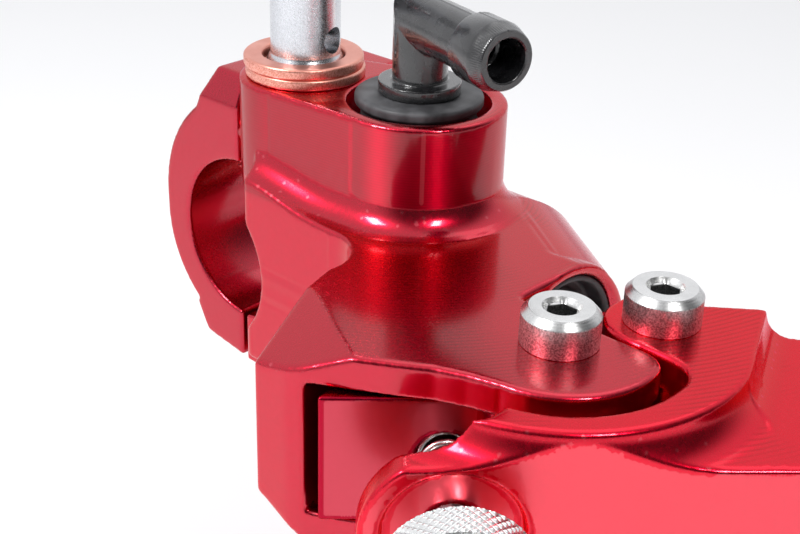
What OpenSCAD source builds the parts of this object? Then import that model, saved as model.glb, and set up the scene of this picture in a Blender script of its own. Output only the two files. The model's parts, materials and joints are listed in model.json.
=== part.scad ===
// Radial master cylinder with a hinged lever for a tubular handlebar.
// Frame: origin where the handlebar's axis meets the cylinder's plane,
// +X along the handlebar, +Y along the cylinder towards the lever, +Z up.

/* [Handlebar] */
// Radius of the handlebar
bar_r = 11.1; // [11.0:0.05:11.2]
// Wall of the clamp round the handlebar
clamp_wall = 4.6; // [4.2:0.1:5]
// Clamp's end nearer the flat wall, along the handlebar
clamp_x1 = 4.8; // [4:0.1:5.5]
// Clamp's other end
clamp_x0 = -16; // [-17:0.5:-15]

/* [Body] */
// Half of the body's height
half_h = 11.7; // [11.6:0.05:11.8]
// Height of the two port bosses' top
boss_z = 24.6; // [24:0.1:25]
// Radius of the inlet boss
inlet_r = 10.7; // [10.5:0.1:10.8]
// Radius of the outlet boss
outlet_r = 8.3; // [8.2:0.1:8.5]
// Open end of the cylinder, along the piston
barrel_end = 50; // [49.8:0.1:50.1]
// Radius of the cylinder's bore
bore_r = 8; // [7.9:0.05:8.1]

/* [Lever pivots] */
// Lever's main pivot, across the piston
pivot_x = 13.6; // [13.5:0.05:13.7]
// Lever's main pivot, along the piston
pivot_y = 58.7; // [58.6:0.05:58.8]
// Blade's own pivot, across the piston
reach_x = 2.3; // [2.2:0.05:2.4]
// Blade's own pivot, along the piston
reach_y = 63.6; // [63.5:0.05:63.7]
// Thickness of each flange and plate
plate_t = 3.8; // [3.7:0.05:3.9]

/* [Lever] */
// Radius of the blade's round plates
disc_r = 20.7; // [20.5:0.1:20.9]
// Half of the blade's height
blade_half = 7.75; // [7.7:0.05:7.8]
// Blade's tip, along the handlebar
tip_x = -128; // [-132:1:-120]
// Adjuster's offset from the origin, across its own 45 degree axis
adjuster_u = -20.4; // [-20.6:0.1:-20.2]
// Radius of the adjuster's knob
knob_r = 7.6; // [7.4:0.1:7.8]

/* [Hidden] */
$fn = 96;
eps = 0.01;

// ---- colours ----
red = [0.72, 0.03, 0.08];
silver = [0.8, 0.8, 0.8];
copper = [0.85, 0.5, 0.38];
black = [0.08, 0.08, 0.09];
bronze = [0.7, 0.55, 0.3];

// ---- derived places ----
gap = 0.4;                          // between the clamp's halves
clamp_r = bar_r + clamp_wall;
ear_z = 16.4;                       // clamp screws above and below the handlebar
ear_x = -9;
ear_bottom = -ear_z - 4.6;
ear_top = ear_z + 6.3;
inlet = [-3, 24];
outlet = [0.5, 8];
port_r = 4.4;                       // outlet thread
recess_r = 8.7;                     // grommet's recess
wall_x = 11.7;                      // flat side wall, where it starts and its round edge
wall_y = 7.7;
wall_r = 1.6;
block = [34.1, 35.2];               // outermost corner of the flange block
flange_edge = [30.9, 46.5];         // where the facets' edge meets the flanges' own edge
cove_c = [wall_x + 6, 24.6];        // cove between side wall and flange block
cove_r = 6;
facet_drop = 3.7;
hub_r = 10.8;                       // flanges' round end about the pivot
flat_x = 8.8;                       // flanges' flat side next to the blade's nose
corner_r = 3;                       // round corner between the two
corner = [flat_x + corner_r, pivot_y + sqrt(pow(hub_r - corner_r, 2) - pow(pivot_x - flat_x - corner_r, 2))];
mouth_r = 10.4;                     // counterbore for the dust boot
mouth_d = 5;
bore_y0 = 15.2;                     // blind end of the bore
pocket_z = half_h - plate_t;        // inner face of the flanges
pivot = [pivot_x, pivot_y];
reach = [reach_x, reach_y];
trunnion_y = 57.6;
carrier_z = pocket_z - 0.4;         // half of the carrier's height
screw_r = 3;                        // both pivot screws' shank
bush_r = 4;
head_r = 4.15;
head_h = 3.3;
head_bevel = 0.8;
disc_c = [11, 56];                  // centre of the blade's plates
front_c = 68.2;                     // flat front wall, along the 45 degree axis
deck_step = half_h - blade_half;    // step from the plates down to the blade's deck
knob_c0 = 72.8;                     // knob's rear face, along the 45 degree axis
knob_c1 = 77.4;
pocket_c = 64.4;                    // floor of the knob's pocket
pocket_r = 6.9;
barrel_c = 50;                      // cross nut, along the 45 degree axis
tongue_c = 55.3;                    // carrier's outer face
spring_seat_c = 52.9;
stud_c = 45.5;                      // adjuster screw's inner end
stud_r = 2;
neck_c = 52;                        // its neck, inside the spring
neck_l = 14;
neck_r = 1.55;

// ---- helpers ----
// Place children so that their Z runs along +Y
module along_y(x = 0, y = 0, z = 0) translate([x, y, z]) rotate([-90, 0, 0]) children();

// Place children so that their Z runs along +X
module along_x(x = 0, y = 0, z = 0) translate([x, y, z]) rotate([0, 90, 0]) children();

// Place children on the adjuster's axis, Z pointing outwards, c from the origin's plane
module on_adjuster(c = 0) rotate([0, 0, 45]) translate([c, -adjuster_u, 0]) rotate([0, 90, 0]) children();

// Ring about Z
module ring(outer, inner, h) difference() {
    cylinder(r = outer, h = h);
    translate([0, 0, -eps]) cylinder(r = inner, h = h + 2 * eps);
}

// Cylinder with a chamfer at its top
module bevelled(r, h, bevel) {
    cylinder(r = r, h = h - bevel);
    translate([0, 0, h - bevel]) cylinder(r1 = r, r2 = r - bevel * 0.85, h = bevel);
}

// Same children above and below the middle plane
module both_sides() {
    children();
    mirror([0, 0, 1]) children();
}

// Closed coil about Z: wire swept along turns, with pitch
function coil_ring(r, wire, pitch, a, sides) = [
    for (k = [0 : sides - 1])
        let (b = 360 * k / sides, rr = r + wire * cos(b))
            [rr * cos(a), rr * sin(a), pitch * a / 360 + wire * sin(b)]
];
module coil(r, wire, pitch, turns, steps = 20, sides = 8) {
    n = ceil(turns * steps);
    points = [for (i = [0 : n]) each coil_ring(r, wire, pitch, 360 * i / steps, sides)];
    skin = [for (i = [0 : n - 1], k = [0 : sides - 1])
        let (j = (k + 1) % sides) [i * sides + k, (i + 1) * sides + k, (i + 1) * sides + j, i * sides + j]];
    first = [[for (k = [0 : sides - 1]) k]];
    last = [[for (k = [sides - 1 : -1 : 0]) n * sides + k]];
    polyhedron(points, concat(first, skin, last), convexity = 6);
}

// ---- body ----
module body_outline() {
    polygon([
        [-11, wall_y], [wall_x - wall_r, wall_y], [wall_x, wall_y + wall_r], cove_c - [cove_r, 0],
        cove_c + [-2, 5], block, [34, 39.9], [33.5, 41.8], flange_edge,
        [28.5, 50.5], [26.7, 53.3], [25.4, 56.4],
        pivot + hub_r * [cos(8), sin(8)], pivot + [0, 2], corner - [corner_r, 0],
        [flat_x, barrel_end - 0.1], [0.6, barrel_end - 0.1], [-10.2, 34]
    ]);
    translate([wall_x - wall_r, wall_y + wall_r]) circle(r = wall_r);
    // round end about the pivot, with a smaller round corner at the flat side
    intersection() {
        translate(pivot) circle(r = hub_r);
        translate([corner.x, barrel_end + 4]) square([40, 30]);
    }
    translate(corner) circle(r = corner_r);
    translate([flat_x, barrel_end]) square([corner.x - flat_x + 1, corner.y - barrel_end]);
}

// Round shoulder: a bar of nearly the body's own half height, along a line with one bend
shoulder_bend = [-10, 33];
shoulder_turn = -34.9;
module shoulder_bar(l, side) translate([shoulder_bend.x, shoulder_bend.y, 0]) intersection() {
    rotate([0, 0, side > 0 ? shoulder_turn : 0]) along_y(0, side > 0 ? -10 : -l)
        cylinder(r = half_h - (side > 0 ? 0.15 : 0.03), h = l + 10);
    rotate([0, 0, shoulder_turn / 2]) translate([-40, side > 0 ? 0 : -60, -20]) cube([80, 60, 40]);
}

module shoulder() {
    shoulder_bar(17, -1);
    shoulder_bar(18, 1);
}

// Clamp's side view, Y to the right and Z up, used for both halves
module clamp_profile() {
    circle(r = clamp_r);
    // fuller shoulder that leads up to the upper ear
    intersection() {
        translate([2.1, 2.6]) circle(r = 17.85);
        translate([-20, 0.6]) square([20, 16]);
    }
    polygon([[-8.9, 12], [-8.9, 16.6], [-8, 18.6], [-5.9, ear_top], [9, ear_top], [11, 12], [9, 4]]);
    polygon([[-10.2, -12.8], [-8.3, -16.4], [-7.7, -17], [1.4, -18.4], [9, -18.4], [11, -12], [9, -4]]);
}

// Lower ear round its screw, away from the clamp's visible side
module lower_ear() translate([clamp_x0, 0, 0]) rotate([90, 0, 90]) linear_extrude(12)
    polygon([[-10.2, -12.8], [-7.8, -17.6], [-4.4, ear_bottom], [8, ear_bottom], [9.4, -17], [9, -8]]);

module clamp_whole() difference() {
    union() {
        translate([clamp_x0, 0, 0]) rotate([90, 0, 90]) linear_extrude(clamp_x1 - clamp_x0) clamp_profile();
        lower_ear();
    }
    // sloping edge of the upper ear
    translate([clamp_x1, 0, 18.6]) rotate([0, -21.5, 0]) translate([0, -30, -4]) cube([20, 30 - gap, 40]);
}

// Unit normals of the two lines that touch both bosses
boss_span = inlet - outlet;
boss_tilt = acos((outlet_r - inlet_r) / norm(boss_span));
function boss_normal(side) =
    let (a = atan2(boss_span.y, boss_span.x) + side * boss_tilt) [cos(a), sin(a)];

module bosses() {
    translate([inlet.x, inlet.y, 0]) cylinder(r = inlet_r, h = boss_z);
    translate([outlet.x, outlet.y, 0]) cylinder(r = outlet_r, h = boss_z);
    linear_extrude(boss_z) polygon([
        outlet + outlet_r * boss_normal(-1), inlet + inlet_r * boss_normal(-1),
        inlet + inlet_r * boss_normal(1), outlet + outlet_r * boss_normal(1)
    ]);
}

// Flat cut that runs from the line a-b on the top face down to the block's corner
module facet_cut(a, b) {
    d = b - a;
    out = ((block - a).x * d.y - (block - a).y * d.x) / norm(d);
    translate([a.x, a.y, half_h]) rotate([0, 0, atan2(d.y, d.x)]) rotate([atan2(facet_drop, out), 0, 0])
        translate([-20, -30, 0]) cube([60, 31, 20]);
}

module body_solid() {
    linear_extrude(2 * half_h, center = true) body_outline();
    along_y(0, 12) cylinder(r = half_h + 0.15, h = barrel_end - 12);
    intersection() {
        shoulder();
        translate([-40, 0, -20]) cube([80, barrel_end, 40]);
    }
    intersection() {
        clamp_whole();
        translate([-40, gap, -40]) cube(80);
    }
    translate([clamp_x0, gap, -half_h]) cube([clamp_x1 - clamp_x0, 16, 2 * half_h]);
    bosses();
}

module body() color(red) difference() {
    body_solid();
    facet_cut([23.4, 32.5], flange_edge);
    mirror([0, 0, 1]) facet_cut([24.6, 31.6], [33.7, 41.8]);
    translate([cove_c.x, cove_c.y, 0]) cylinder(r = cove_r, h = 4 * half_h, center = true);
    translate([wall_x, -1, -half_h - 1]) cube([30, 24.6 + 1, 2 * half_h + 2]);
    // pocket for the lever's carrier
    linear_extrude(2 * pocket_z, center = true)
        polygon([[45, 41.8], [17, 41.8], [12.7, 46.2], [12.7, barrel_end], [-25, barrel_end], [-25, 90], [45, 90]]);
    // handlebar
    along_x(-40) cylinder(r = bar_r, h = 80);
    translate([-40, -30, -40]) cube([80, 30 + gap, 80]);
    // cylinder and the dust boot's seat
    along_y(0, bore_y0) cylinder(r = bore_r, h = 60);
    along_y(0, barrel_end - mouth_d) cylinder(r = mouth_r, h = 20);
    along_y(0, barrel_end - 0.5) cylinder(r1 = mouth_r, r2 = mouth_r + 0.5, h = 0.5 + eps);
    along_y(0, clip_y) ring(bore_r + clip_depth, 1, clip_t);
    // outlet
    translate([outlet.x, outlet.y, 12.6]) cylinder(r = port_r, h = 20);
    along_y(outlet.x, outlet.y, 14.2) rotate([31, 0, 0]) cylinder(r = 1.1, h = 14);
    // inlet recess and its two ports
    translate([inlet.x, inlet.y, boss_z - 8]) cylinder(r = recess_r, h = 20);
    translate([0, 26.4, 0]) cylinder(r = 0.5, h = 20);
    translate([0, 31.2, 0]) cylinder(r = 1.4, h = 20);
    // clamp screws' threads
    for (s = [-1, 1]) along_y(ear_x, -5, s * ear_z) cylinder(r = 2.5, h = 17);
    // pivot
    translate([pivot.x, pivot.y, 0]) cylinder(r = screw_r + 0.03, h = 4 * half_h, center = true);
}

// ---- clamp ----
module bar_clamp() color(red) difference() {
    intersection() {
        clamp_whole();
        translate([-40, -40 - gap, -40]) cube([80, 40, 80]);
    }
    along_x(-40) cylinder(r = bar_r, h = 80);
    for (s = [-1, 1]) {
        along_y(ear_x, -20, s * ear_z) cylinder(r = 2.7, h = 30);
        along_y(ear_x, -34.4, s * ear_z) cylinder(r = 4.5, h = 30);
    }
}

module clamp_screw() difference() {
    union() {
        cylinder(r = 2.5, h = 14);
        translate([0, 0, -5]) cylinder(r = 4.2, h = 5);
    }
    translate([0, 0, -5 - eps]) cylinder(r = 2.3, h = 2.6, $fn = 6);
}

module clamp_screws() color(silver)
    for (s = [-1, 1]) along_y(ear_x, -4.4, s * ear_z) clamp_screw();

// ---- outlet ----
module banjo_bolt() color(silver) translate([outlet.x, outlet.y, 0]) difference() {
    union() {
        translate([0, 0, 15]) cylinder(r = port_r, h = 11.6);
        translate([0, 0, 26.6]) cylinder(r1 = 4.85, r2 = 4.35, h = 0.9);
        translate([0, 0, 26.4]) cylinder(r = 4.35, h = 11.4);
        translate([0, 0, 37.4]) cylinder(r1 = 4.35, r2 = 4.75, h = 0.5);
        translate([0, 0, 37.9]) cylinder(r = 4.75, h = 6);
        translate([0, 0, 43.6]) cylinder(r = 7.2, h = 1.4);
        translate([0, 0, 44.8]) cylinder(r = 6.9, h = 6, $fn = 6);
    }
    translate([0, 0, 14]) cylinder(r = 1.75, h = 18);
    translate([0, 0, 29.6]) rotate([0, 90, 100]) cylinder(r = 1.65, h = 12, center = true);
}

module copper_washer_lower() color(copper)
    translate([outlet.x, outlet.y, boss_z]) ring(7.5, 5.15, 1.4);

module copper_washer_upper() color(copper)
    translate([outlet.x + 0.2, outlet.y - 0.1, boss_z + 1.4]) ring(7.5, 5.15, 1.4);

// ---- inlet ----
elbow_z = 34.3;
elbow_turn = 74;
elbow_l = 17.3;
barb_at = 11.6;
barb_l = 3.6;
barb_r = 3.95;
elbow_r = 3.35;
module inlet_grommet() color(black) translate([inlet.x, inlet.y, boss_z]) difference() {
    union() {
        translate([0, 0, -0.6]) cylinder(r = 7.8, h = 1.1);
        translate([0, 0, 0.5]) cylinder(r1 = 7.8, r2 = 7.4, h = 0.4);
        translate([0, 0, -7.6]) cylinder(r = recess_r - 0.6, h = 4.4);
        translate([0, 0, -3.4]) cylinder(r = 7, h = 3);
    }
    translate([0, 0, -9]) cylinder(r = 3.9, h = 12);
}

// Half of the elbow's tube, cut at 45 degrees where it meets the other half
module elbow_half(l, turn) difference() {
    rotate([0, turn, 0]) translate([0, 0, -elbow_r - 1]) cylinder(r = elbow_r, h = l + elbow_r + 1);
    rotate([0, turn == 90 ? 225 : 45, 0]) translate([-20, -20, 0]) cube([40, 40, 40]);
}

module inlet_elbow() color(black) difference() {
    union() {
        translate([inlet.x, inlet.y, boss_z - 6.6]) cylinder(r = 3.85, h = 7.6);
        translate([inlet.x, inlet.y, boss_z + 0.95]) cylinder(r = 5, h = 1.5);
        translate([inlet.x, inlet.y, elbow_z]) rotate([0, 0, elbow_turn]) {
            elbow_half(elbow_z - boss_z - 1, 180);
            elbow_half(elbow_l - 1, 90);
            rotate([0, 90, 0]) {
                translate([0, 0, barb_at]) cylinder(r = barb_r, h = barb_l);
                translate([0, 0, barb_at + barb_l]) cylinder(r1 = barb_r, r2 = 3.4, h = elbow_l - barb_at - barb_l);
            }
        }
    }
    translate([inlet.x, inlet.y, boss_z - 8]) cylinder(r = 2.2, h = elbow_z - boss_z + 9.6);
    translate([inlet.x, inlet.y, elbow_z]) rotate([0, 90, elbow_turn]) {
        cylinder(r = 2, h = 30);
        translate([0, 0, elbow_l - 5]) cylinder(r = 2.5, h = 10);
    }
}

// ---- inside the cylinder ----
piston_y0 = 24;
clip_y = 41.9;
clip_t = 1.2;
clip_depth = 0.9;
module piston() color(silver) difference() {
    along_y(0, piston_y0) {
        cylinder(r = 4.2, h = 1.4);
        translate([0, 0, 1.2]) cylinder(r = bore_r - 0.05, h = 1.4);
        translate([0, 0, 2.4]) cylinder(r = 5.2, h = 3.4);
        translate([0, 0, 5.6]) cylinder(r = bore_r - 0.05, h = 1.2);
        translate([0, 0, 6.6]) cylinder(r = 5, h = 4.6);
        translate([0, 0, 11]) cylinder(r = bore_r - 0.05, h = 1.2);
        translate([0, 0, 12]) cylinder(r = 5.2, h = 3);
        translate([0, 0, 14.8]) cylinder(r = bore_r - 0.05, h = 2);
    }
    along_y(0, 36) cylinder(r = 2.95, h = 10);
}

module lip_seal(y, h) color(black) along_y(0, y) ring(bore_r - 0.02, 5.22, h);
module primary_seal() lip_seal(piston_y0 + 2.65, 2.9);
module secondary_seal() lip_seal(piston_y0 + 12.25, 2.5);

module return_spring() color(silver) along_y(0, bore_y0 + 0.55) coil(5.6, 0.5, 2.2, 3.4, 16, 6);

module stop_washer() color(silver) along_y(0, clip_y - 0.9) ring(bore_r - 0.1, 4.2, 0.8);

module circlip() color(silver) difference() {
    along_y(0, clip_y + 0.05) ring(bore_r + clip_depth - 0.1, 6.6, clip_t - 0.1);
    translate([0, clip_y, -8]) cube([3, 4, 8], center = true);
}

module dust_boot() color(black) difference() {
    union() {
        along_y(0, 45.1) cylinder(r = mouth_r - 0.05, h = 1.6);
        along_y(0, 46.5) cylinder(r1 = mouth_r - 0.4, r2 = 7.2, h = 0.9);
        along_y(0, 47.2) cylinder(r = 5.4, h = 0.9);
        along_y(0, 46) ring(mouth_r - 0.05, 9.5, 3.5);
    }
    along_y(0, 40) cylinder(r = 3.4, h = 20);
    along_y(0, 44) cylinder(r = 6.2, h = 2.2);
}

// ---- pushrod ----
ball_y = 38.6;
rod_r = 2.1;
module pushrod() color(silver) {
    along_y(0, ball_y) {
        sphere(r = 2.45);
        cylinder(r = 1.7, h = 4);
        translate([0, 0, 3.4]) cylinder(r = rod_r, h = trunnion_y - ball_y - 2.9);
    }
}

module pushrod_locknut() color(silver) along_y(0, 53) difference() {
    cylinder(r = 3.6, h = 1.8, $fn = 6);
    translate([0, 0, -1]) cylinder(r = rod_r, h = 4);
}

module trunnion() color(bronze) difference() {
    translate([0, trunnion_y, 0]) cylinder(r = 2.6, h = 2 * carrier_z - 0.3, center = true);
    along_y(0, ball_y) cylinder(r = rod_r, h = trunnion_y - ball_y + 0.5);
}

// ---- pivots ----
// Round-headed screw about Z, its head standing on the top face
module pivot_bolt(at, r) color(silver) translate([at.x, at.y, half_h]) difference() {
    union() {
        bevelled(head_r, head_h + head_bevel, head_bevel);
        translate([0, 0, -2 * half_h - 3.4]) cylinder(r = r, h = 2 * half_h + 3.5);
    }
    translate([0, 0, head_h + head_bevel - 0.5]) cylinder(r1 = 1.5, r2 = 2, h = 0.5 + eps);
    translate([0, 0, head_h + head_bevel - 2.6]) cylinder(r = 1.5, h = 3, $fn = 6);
}

module pivot_nut_at(at, r) color(silver) translate([at.x, at.y, -half_h - 3]) difference() {
    union() {
        cylinder(r = 4.9, h = 3, $fn = 6);
        translate([0, 0, 2.4]) cylinder(r = 5, h = 0.6);
    }
    translate([0, 0, -1]) cylinder(r = r, h = 5);
}

module bush_at(at, outer, inner) color(bronze)
    translate([at.x, at.y, -carrier_z]) ring(outer, inner, 2 * carrier_z);

reach_r = 2.3;
reach_bush_r = 2.9;
module pivot_screw() pivot_bolt(pivot, screw_r);
module pivot_nut() pivot_nut_at(pivot, screw_r);
module pivot_bush() bush_at(pivot, bush_r, screw_r + 0.04);
module reach_screw() pivot_bolt(reach, reach_r);
module reach_nut() pivot_nut_at(reach, reach_r);
module reach_bush() bush_at(reach, reach_bush_r, reach_r + 0.04);

// ---- lever carrier ----
// Point on the adjuster's plane: u across its axis, c along it
function at_45(u, c) = [c + u, c - u] * sqrt(0.5);

// Upright of the carrier's full height
module post(at, r) translate([at.x, at.y, -carrier_z]) cylinder(r = r, h = 2 * carrier_z);

module carrier_blank() {
    post(pivot, 8.2);
    post(reach, 5.6);
    post([0, trunnion_y], 4.3);
    linear_extrude(2 * carrier_z, center = true) {
        polygon([[-2.6, 58.6], [-1.6, 66.6], [3.6, 67.8], [14.5, 65.4], [8.6, 54.6], [3, 55.6]]);
        polygon([pivot - [6.5, 3], [13.6, 51], [17.8, 46.5], [24, 43.9], [33.2, 43.9],
            at_45(-7.4, tongue_c), at_45(-24, tongue_c), pivot + [3, 6]]);
    }
}

module lever_carrier() color(red) difference() {
    carrier_blank();
    translate([pivot.x, pivot.y, 0]) cylinder(r = bush_r, h = 60, center = true);
    translate([reach.x, reach.y, 0]) cylinder(r = reach_bush_r, h = 60, center = true);
    translate([0, trunnion_y, 0]) cylinder(r = 2.65, h = 60, center = true);
    // way for the pushrod
    linear_extrude(7.8, center = true) polygon([
        [2.8, trunnion_y - 0.9], [4.3, trunnion_y - 2.5], [4.3, 50], [-12, 50], [-4.9, trunnion_y - 0.9]
    ]);
    // adjuster
    on_adjuster(40) cylinder(r = 2.6, h = 40);
    on_adjuster(spring_seat_c) cylinder(r = 3.2, h = 10);
    barrel_at() cylinder(r = 3.05, h = 60, center = true);
}

// ---- lever ----
// Cubic curve through four control points
function curve(p, t) =
    pow(1 - t, 3) * p[0] + 3 * t * pow(1 - t, 2) * p[1] + 3 * t * t * (1 - t) * p[2] + pow(t, 3) * p[3];
function curve_points(p, n) = [for (i = [0 : n]) curve(p, i / n)];

edge_corner = [-8.3, 70.1];         // plates' corner on the blade's back
tip_y = 62.5;                       // plates' other end
tip_r = 7.4;                        // blade's round end
tip_c = 85.2;
front_end = at_45(-60, front_c);
blade_front = [front_end, at_45(-72, front_c), [-34, 99.5], [tip_x, 91]];
blade_back = [[tip_x, 79.5], [-60, 87.5], [-26, 85], [-14, 74.4]];
module blade_outline() difference() {
    polygon(concat(
        [edge_corner, [-4.1, 65.1], [-4.1, 71.4], [8.8, 71.4], pivot + [0, 14], pivot + [10, 10],
            pivot + [13.2, 3.8], [29.7, tip_y], [32.8, 59.6], at_45(-14.5, 65), at_45(-11.2, 65), at_45(-11.2, front_c)],
        curve_points(blade_front, 20), curve_points(blade_back, 20)
    ));
    translate(pivot) circle(r = 14);
}

// Blade's side view, X to the right and Z up
module blade_height() polygon([
    [60, -blade_half], [60, blade_half], [-6, blade_half], [-60, 6.6], [tip_x - 2, 5.4],
    [tip_x - 2, -5.4], [-60, -6.6], [-6, -blade_half]
]);

module plate_outline() {
    difference() {
        translate(disc_c) circle(r = disc_r);
        translate([-60, tip_y - 100]) square([130, 100]);
        translate([-40, 40]) square([40 + reach.x, 60]);
        intersection() {
            translate(pivot) circle(r = 13.7);
            translate([flat_x - 0.4, 40]) square([40, 60]);
        }
        translate([0, 50]) square([flat_x - 0.4, 18]);
    }
    translate(reach) circle(r = 6.1);
    polygon([edge_corner, [-3.9, 64.6], reach, [8.2, 62.6], [8.5, 71.2], [8.5, 76.5], [3.6, 75.2]]);
}

// Hollow that runs from the plates down to the deck
module cove() {
    r = deck_step;
    translate([disc_c.x, disc_c.y, blade_half]) rotate_extrude() difference() {
        translate([disc_r - 1, -0.1]) square([r + 1, r + 0.1]);
        translate([disc_r + r, r]) circle(r = r);
    }
    start = [3.6, 75.2];
    d = edge_corner - start;
    translate([start.x, start.y, blade_half]) rotate([0, 0, atan2(d.y, d.x)]) difference() {
        translate([-1, -r, -0.1]) cube([norm(d) + 12, r + 0.5, r + 0.1]);
        rotate([0, 90, 0]) translate([-r, -r, -4]) cylinder(r = r, h = norm(d) + 24);
    }
}

module lever() color(red) difference() {
    union() {
        intersection() {
            linear_extrude(2 * blade_half, center = true) blade_outline();
            rotate([90, 0, 0]) translate([0, 0, -200]) linear_extrude(400) blade_height();
        }
        intersection() {
            on_adjuster(58) cylinder(r = 9.2, h = front_c - 58);
            linear_extrude(2 * blade_half, center = true)
                polygon([[30, 62.3], [32.8, 59.6], at_45(-14.5, 65), at_45(-8, 65), at_45(-8, 80), [30, 80]]);
        }
        both_sides() {
            translate([0, 0, blade_half]) linear_extrude(deck_step) plate_outline();
            intersection() {
                cove();
                translate([0, 0, blade_half - 1]) linear_extrude(deck_step + 1) blade_outline();
            }
        }
        // thick round end
        both_sides() translate([tip_x, tip_c, 0]) bevelled(tip_r, 6.6, 2.2);
    }
    // knob's pocket and the adjuster's way through
    on_adjuster(pocket_c + 2.2) cylinder(r = pocket_r, h = 20);
    on_adjuster(front_c - 0.4) cylinder(r1 = pocket_r, r2 = pocket_r + 0.5, h = 0.5);
    on_adjuster(56) cylinder(r = 2.6, h = 20);
    on_adjuster(56) cylinder(r = 3.9, h = 8.4);
    // round the boss's outer end
    difference() {
        on_adjuster(50) ring(14, 9.2, 22);
        translate([0, 40, -20]) cube([at_45(-14, 62).x, 60, 40]);
    }
    translate([reach.x, reach.y, 0]) cylinder(r = reach_r + 0.02, h = 60, center = true);
}

// ---- adjuster ----
module barrel_at() translate([at_45(adjuster_u, barrel_c).x, at_45(adjuster_u, barrel_c).y, 0]) children();

module adjuster_knob() color(silver) on_adjuster(0) difference() {
    union() {
        translate([0, 0, pocket_c + 2.25]) cylinder(r = 3, h = knob_c0 - pocket_c - 2);
        translate([0, 0, knob_c0]) cylinder(r1 = knob_r - 0.5, r2 = knob_r, h = 0.5);
        translate([0, 0, knob_c0 + 0.5]) cylinder(r = knob_r, h = knob_c1 - knob_c0 - 1.1);
        translate([0, 0, knob_c1 - 0.6]) cylinder(r1 = knob_r, r2 = knob_r - 0.7, h = 0.6);
    }
    translate([0, 0, 50]) cylinder(r = 2, h = 25);
}

module adjuster_screw() color(silver) {
    on_adjuster(stud_c) cylinder(r = stud_r, h = neck_c - stud_c + 0.5);
    on_adjuster(neck_c) cylinder(r = neck_r, h = neck_l);
    on_adjuster(neck_c + neck_l - 0.5) cylinder(r = stud_r, h = 9.4);
}

module adjuster_barrel() color(bronze) difference() {
    barrel_at() cylinder(r = 3, h = 2 * carrier_z - 0.4, center = true);
    on_adjuster(30) cylinder(r = 2.3, h = 40);
}

module adjuster_spring() color(silver) on_adjuster(spring_seat_c + 0.4) coil(2.62, 0.32, 1.95, 4.9, 20, 8);

body();
bar_clamp();
clamp_screws();
banjo_bolt();
copper_washer_lower();
copper_washer_upper();
inlet_grommet();
inlet_elbow();
piston();
primary_seal();
secondary_seal();
return_spring();
stop_washer();
circlip();
dust_boot();
pushrod();
pushrod_locknut();
trunnion();
pivot_screw();
pivot_bush();
pivot_nut();
reach_screw();
reach_bush();
reach_nut();
lever_carrier();
lever();
adjuster_knob();
adjuster_screw();
adjuster_barrel();
adjuster_spring();
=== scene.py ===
import json
import math

import bmesh
import bpy
import numpy as np
from mathutils import Matrix, Vector


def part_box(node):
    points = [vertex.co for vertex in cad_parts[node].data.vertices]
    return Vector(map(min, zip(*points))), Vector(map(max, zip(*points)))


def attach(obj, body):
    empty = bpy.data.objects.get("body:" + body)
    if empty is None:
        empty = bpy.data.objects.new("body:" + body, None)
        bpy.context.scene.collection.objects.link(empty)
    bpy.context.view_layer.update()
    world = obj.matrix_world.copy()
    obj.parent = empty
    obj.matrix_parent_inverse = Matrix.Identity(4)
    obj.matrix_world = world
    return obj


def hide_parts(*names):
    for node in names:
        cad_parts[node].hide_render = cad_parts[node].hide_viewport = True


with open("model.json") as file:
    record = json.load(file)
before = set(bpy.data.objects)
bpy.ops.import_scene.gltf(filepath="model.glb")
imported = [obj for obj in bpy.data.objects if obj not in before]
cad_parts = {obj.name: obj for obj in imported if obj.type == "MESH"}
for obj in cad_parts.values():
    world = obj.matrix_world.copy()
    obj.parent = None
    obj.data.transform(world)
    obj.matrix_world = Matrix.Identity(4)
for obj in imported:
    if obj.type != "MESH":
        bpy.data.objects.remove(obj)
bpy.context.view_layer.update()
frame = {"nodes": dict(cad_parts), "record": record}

MM = 0.001
NODES = frame["nodes"]
BODY_OF = {n: body for body, names in frame["record"]["behaviour"]["bodies"].items() for n in names}

# ---- places that several pieces share, in millimetres, worked out from the frame ----


def box_mm(node):
    lo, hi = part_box(node)
    return np.array(lo) / MM, np.array(hi) / MM


def middle(node):
    lo, hi = box_mm(node)
    return (lo + hi) / 2


INLET = middle("inlet_grommet")[:2]
OUTLET = middle("copper_washer_lower")[:2]
INLET_R, OUTLET_R = 10.7, 8.3       # port bosses
HALF_H = 11.7                       # half of the body's height
BAR_R = 11.1                        # handlebar
CLAMP_R = BAR_R + 4.6
WALL = (11.7, 7.7)                  # flat side wall's x, and the y where it starts
WALL_R = 1.6                        # its round corner
WALL_INNER_X = 4.8                  # how far in the face beside the corner reaches
COVE_R = 6.0                        # hollow between the side wall and the flanges
CYLINDER_R = HALF_H + 0.15          # round side of the cylinder
SHOULDER = np.array([-10, 33, 0])   # bend of the round shoulder beside the inlet
SHOULDER_TURN = math.radians(34.9)
SHOULDER_R = (HALF_H - 0.03, HALF_H - 0.15)     # before and beyond the bend
PIVOT = middle("pivot_screw")[:2]
REACH = middle("reach_screw")[:2]
FOOT_R = 3.8                        # fillet round the bosses' foot
BLADE_HALF = 7.75                   # half of the blade's height at its root
DISC = (np.array([11.0, 56.0]), 20.7)   # blade's round plates: middle and radius
DIAGONAL = np.array([1, 1, 0]) * math.sqrt(0.5)
FRONT_C = 68.2                      # lever's front wall, along the diagonal
KNOB_AXIS = middle("adjuster_screw")
ELBOW_Z = 34.3
UP = np.array([0.0, 0.0, 1.0])


def level_way(degrees):
    """Level direction at an azimuth."""
    return np.array([math.cos(math.radians(degrees)), math.sin(math.radians(degrees)), 0])


ELBOW_DIR = level_way(74)


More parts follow.
